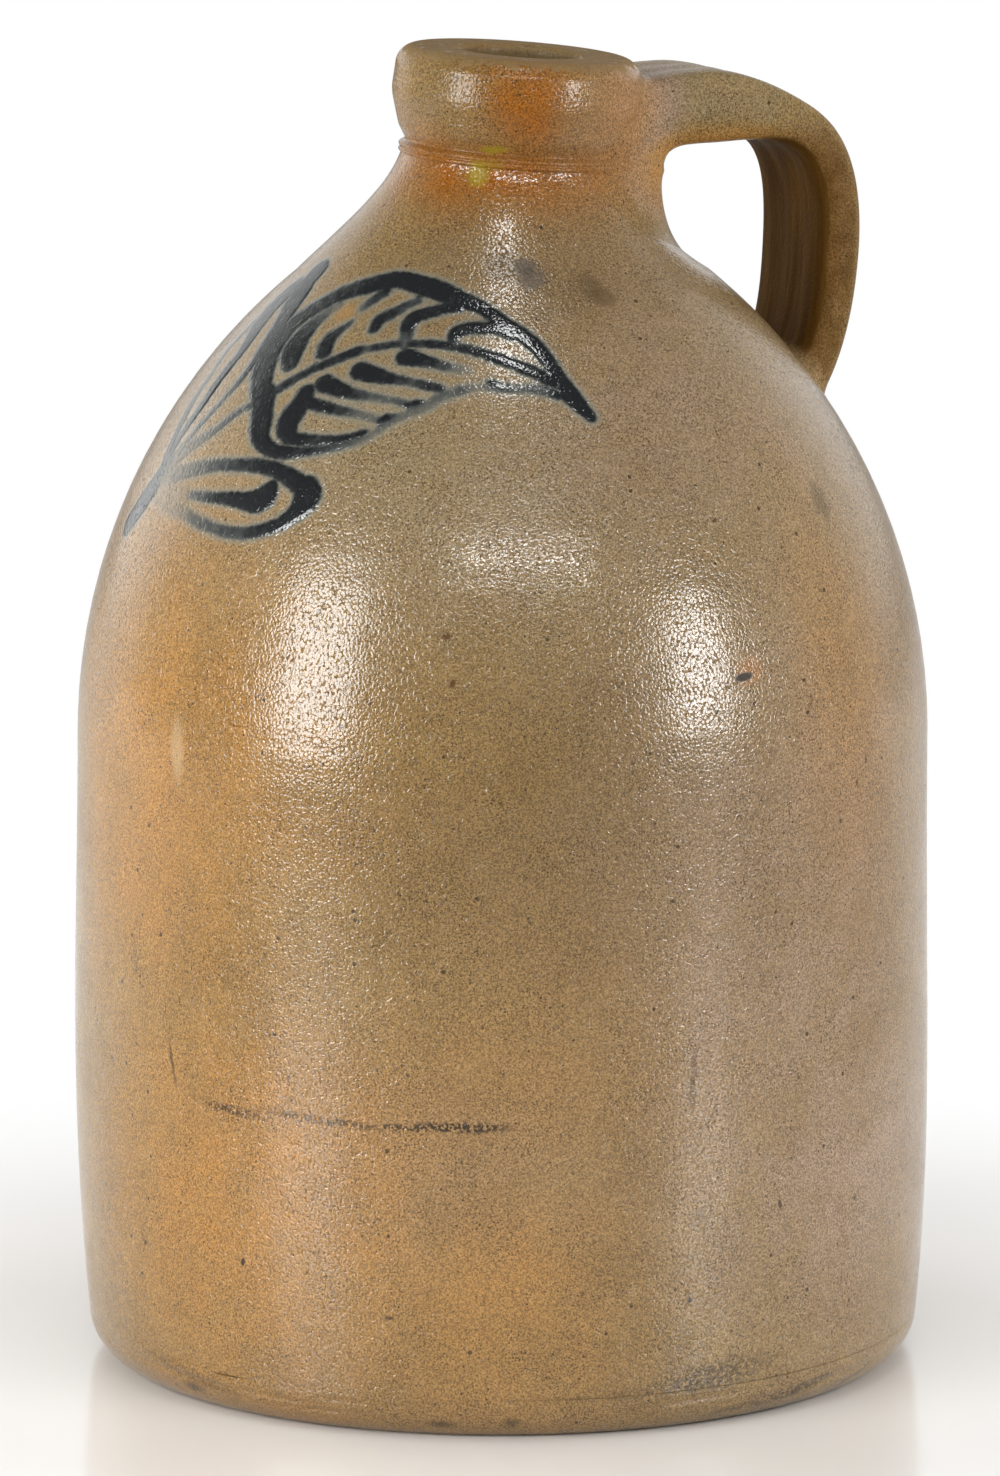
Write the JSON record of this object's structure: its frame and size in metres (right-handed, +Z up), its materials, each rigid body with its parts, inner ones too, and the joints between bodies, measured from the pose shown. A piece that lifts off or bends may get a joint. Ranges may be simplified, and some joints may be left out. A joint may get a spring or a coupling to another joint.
{
  "type": "stoneware jug",
  "caption": "Salt-glazed stoneware storage jug with a domed shoulder, a leaning collared neck open for a cork, and a strap handle from the collar to the shoulder.",
  "frame": {"origin": "centre of the foot, on the surface the jug stands on", "axes": "+Z up along the thrown axis, +X towards the handle"},
  "size_m": [0.2274, 0.2274, 0.3493],
  "materials": {
    "salt_glaze": "tan salt glaze with orange-peel texture",
    "brown_slip": "dark brown slip, satin"
  },
  "bodies": {
    "root": {"base_floor": "salt_glaze", "body_wall": "salt_glaze", "shoulder_dome": "salt_glaze", "neck_throat": "salt_glaze", "collar_lip": "salt_glaze", "strap_handle": "salt_glaze", "upper_handle_lute": "salt_glaze", "lower_handle_lute": "salt_glaze", "slip_lining": "brown_slip"}
  },
  "joints": []
}
